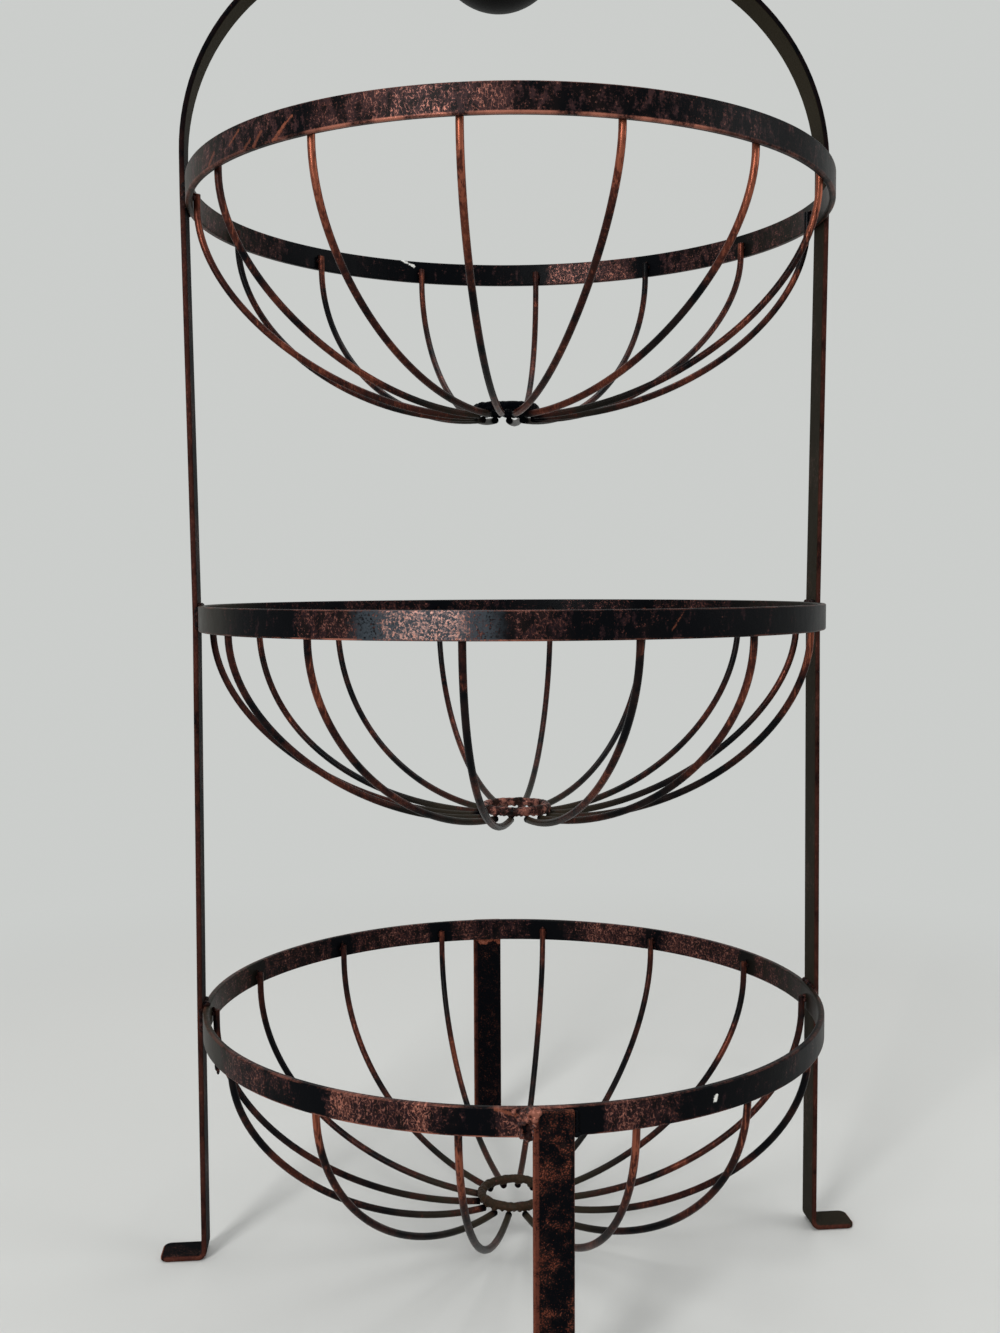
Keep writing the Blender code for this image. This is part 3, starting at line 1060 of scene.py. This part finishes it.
def wireWelds(key):  # a drop on each wire's top, against the band's inner face
    tier = tiers[key]
    inner = tier["radius"] - band["thick"]
    drops = []
    for index in range(ribs["count"]):
        turn = wireTurn(key, index)
        out = Vector((math.cos(turn), math.sin(turn), 0))
        along = Vector((-math.sin(turn), math.cos(turn), 0))
        for side in (-1, 0, 1):
            rise = wire["aboveMiddle"] + (0.0001 if side == 0 else -0.0022)
            place = out * (inner - 0.0006) + along * side * 0.0013
            place.z = tier["height"] + rise + chance.uniform(-0.0004, 0.0004)
            size = weld["wireDrop"] * chance.uniform(0.85, 1.15)
            drops.append(makeLump("drop", place, (size, size, size * 1.25)))
    return fuse(drops, "wire_welds_" + key, weld["voxel"], weld["roughness"] * 0.6)


print("weld beads")
weldPaint = weldFinish("aged_copper_beads", 83.0, 0.5, 0.0)
for key in tiers:
    for side in (-1, 1):
        finished(barWelds(key, side), weldPaint)
    finished(wireWelds(key), weldPaint)
sootPaint = weldFinish("blackened_beads", 87.0, 0.0, 0.0, -0.6)
finished(legWelds("weld_leg_front_left", -1, [(-1, 1.15)]), weldPaint)
finished(legWelds("weld_leg_front_right", -1, [(1, 0.75)]), sootPaint)
heapPaint = weldFinish("aged_copper_heap", 91.0, 0.9, 0.0, 0.75, "rim", 0.12)
finished(heapedWeld(), heapPaint)
finished(runs(), weldPaint)
finished(legWelds("weld_leg_rear", 1, [(-1, 1.1), (1, 1.1)]), weldPaint)


# ---- ball grip, threaded on the flat top of the arch

grip = {"radius": 0.0315, "middle": (-0.005, 0, 0.6338), "play": 0.0003, "mouthRound": 0.0006}


def makeGrip():
    bpy.ops.mesh.primitive_uv_sphere_add(
        segments=72, ring_count=40, radius=grip["radius"], location=grip["middle"]
    )
    ball = named("ball_grip")
    settle(ball)
    bpy.ops.mesh.primitive_cube_add(size=1, location=grip["middle"])
    cutter = named("bar_slot")
    cutter.scale = (
        grip["radius"] * 2 + 0.004,
        bar["width"] + 2 * grip["play"],
        bar["thick"] + 2 * grip["play"],
    )
    settle(cutter)
    addModifier(ball, "BOOLEAN", operation="DIFFERENCE", solver="EXACT", object=cutter)
    bpy.data.objects.remove(cutter, do_unlink=True)
    cleanShell(ball)
    smooth(ball, 35)
    return ball


print("ball grip")
finished(makeGrip(), gripFinish("black_lacquer"), ["grip_ball"])


# ---- floor, light and camera

studio = {
    "pale": (0.600, 0.615, 0.600),
    "floor": (0.640, 0.648, 0.628),
    "floorFar": (0.670, 0.678, 0.658),
    "worldStrength": 0.34,
    "fadeStart": 0.45,
    "fadeEnd": 0.85,
    "lampFade": (1.76, 1.50),
}

lamps = {
    "key": {"place": (-0.98, -1.60, 1.05), "size": (0.45, 1.30), "power": 30.0},
    "side": {"place": (1.5, -0.5, 0.9), "size": (0.9, 0.9), "power": 6.0},
    "top": {"place": (0.1, 0.3, 1.9), "size": (1.2, 1.2), "power": 14.0},
}


def makeFloor():
    bpy.ops.mesh.primitive_circle_add(vertices=96, radius=30, fill_type="NGON", location=(0, 0, 0))
    ground = named("floor")
    paint = Paint("pale_floor")
    grainy = paint.noise(9.0, 3.0, 0.5)
    paint.set(
        Base_Color=paint.blend(
            grainy * 0.12 + paint.ease(paint.y, 0.2, 0.8) * 0.88, studio["floor"], studio["floorFar"]
        ),
        Roughness=0.45 + 0.1 * grainy,
        Specular_IOR_Level=0.25,
    )
    plain = paint.ease(paint.away(), studio["fadeStart"], studio["fadeEnd"])
    lampX, lampY, _ = lamps["key"]["place"]
    lampAway = ((paint.x - lampX) ** 2.0 + (paint.y - lampY) ** 2.0) ** 0.5
    plain = plain | paint.ease(lampAway, *studio["lampFade"])  # that lamp would turn the floor white
    glow = paint.node("ShaderNodeEmission", {}, {"Color": studio["pale"], "Strength": 1.0})
    mixed = paint.node(
        "ShaderNodeMixShader",
        {},
        {
            0: plain,
            1: Value(paint, paint.shader.outputs[0]),
            2: glow,
        },
    )
    paint.feed(paint.tree.nodes["Material Output"].inputs["Surface"], mixed)
    ground.data.materials.append(paint.material)


def makeWorld():
    world = bpy.data.worlds.new("pale_studio")
    bpy.context.scene.world = world
    world.use_nodes = True
    tree = world.node_tree
    tree.nodes.clear()
    out = tree.nodes.new("ShaderNodeOutputWorld")
    shown = tree.nodes.new("ShaderNodeBackground")
    lit = tree.nodes.new("ShaderNodeBackground")
    paths = tree.nodes.new("ShaderNodeLightPath")
    mix = tree.nodes.new("ShaderNodeMixShader")
    shown.inputs["Color"].default_value = (*studio["pale"], 1)
    lit.inputs["Color"].default_value = (1.0, 1.0, 1.0, 1)
    lit.inputs["Strength"].default_value = studio["worldStrength"]
    seen = paths.outputs["Is Camera Ray"]
    for kind in ("Is Glossy Ray", "Is Transmission Ray"):
        either = tree.nodes.new("ShaderNodeMath")
        either.operation = "MAXIMUM"
        tree.links.new(seen, either.inputs[0])
        tree.links.new(paths.outputs[kind], either.inputs[1])
        seen = either.outputs[0]
    tree.links.new(seen, mix.inputs[0])
    tree.links.new(lit.outputs[0], mix.inputs[1])
    tree.links.new(shown.outputs[0], mix.inputs[2])
    tree.links.new(mix.outputs[0], out.inputs["Surface"])


def makeLamps():
    for name, lamp in lamps.items():
        bpy.ops.object.light_add(type="AREA", location=lamp["place"])
        light = bpy.context.active_object
        light.name = name + "_light"
        light.data.shape = "RECTANGLE"
        light.data.size, light.data.size_y = lamp["size"]
        light.data.energy = lamp["power"]
        aim = Vector((0, 0, 0.3)) - Vector(lamp["place"])
        light.rotation_euler = aim.to_track_quat("-Z", "Y").to_euler()


lens = {
    "place": (-0.069531, -0.674804, 0.330655),
    "yaw": 5.3987,
    "pitch": 3.5570,
    "roll": -0.2459,
    "focal": 1384.19,  # in pixels of the 1000 x 1333 frame
}


def makeCamera():
    yaw, pitch, roll = (math.radians(lens[key]) for key in ("yaw", "pitch", "roll"))
    ahead = Vector(
        (math.sin(yaw) * math.cos(pitch), math.cos(yaw) * math.cos(pitch), -math.sin(pitch))
    )
    level = Vector((math.cos(yaw), -math.sin(yaw), 0))
    above = level.cross(ahead)
    right = level * math.cos(roll) + above * math.sin(roll)
    up = above * math.cos(roll) - level * math.sin(roll)
    bpy.ops.object.camera_add(location=lens["place"])
    camera = bpy.context.active_object
    camera.name = "photo_view"
    turn = Matrix((right, up, -ahead)).transposed()
    camera.rotation_euler = turn.to_euler()
    camera.data.sensor_width = 36.0
    camera.data.lens = 36.0 * lens["focal"] / 1333  # the sensor's width lies along the long side
    camera.data.clip_start = 0.02
    camera.data.clip_end = 100
    bpy.context.scene.camera = camera


print("floor, light and camera")
clearSelection()
makeFloor()
makeWorld()
makeLamps()
makeCamera()
bpy.context.scene.view_settings.view_transform = "Standard"
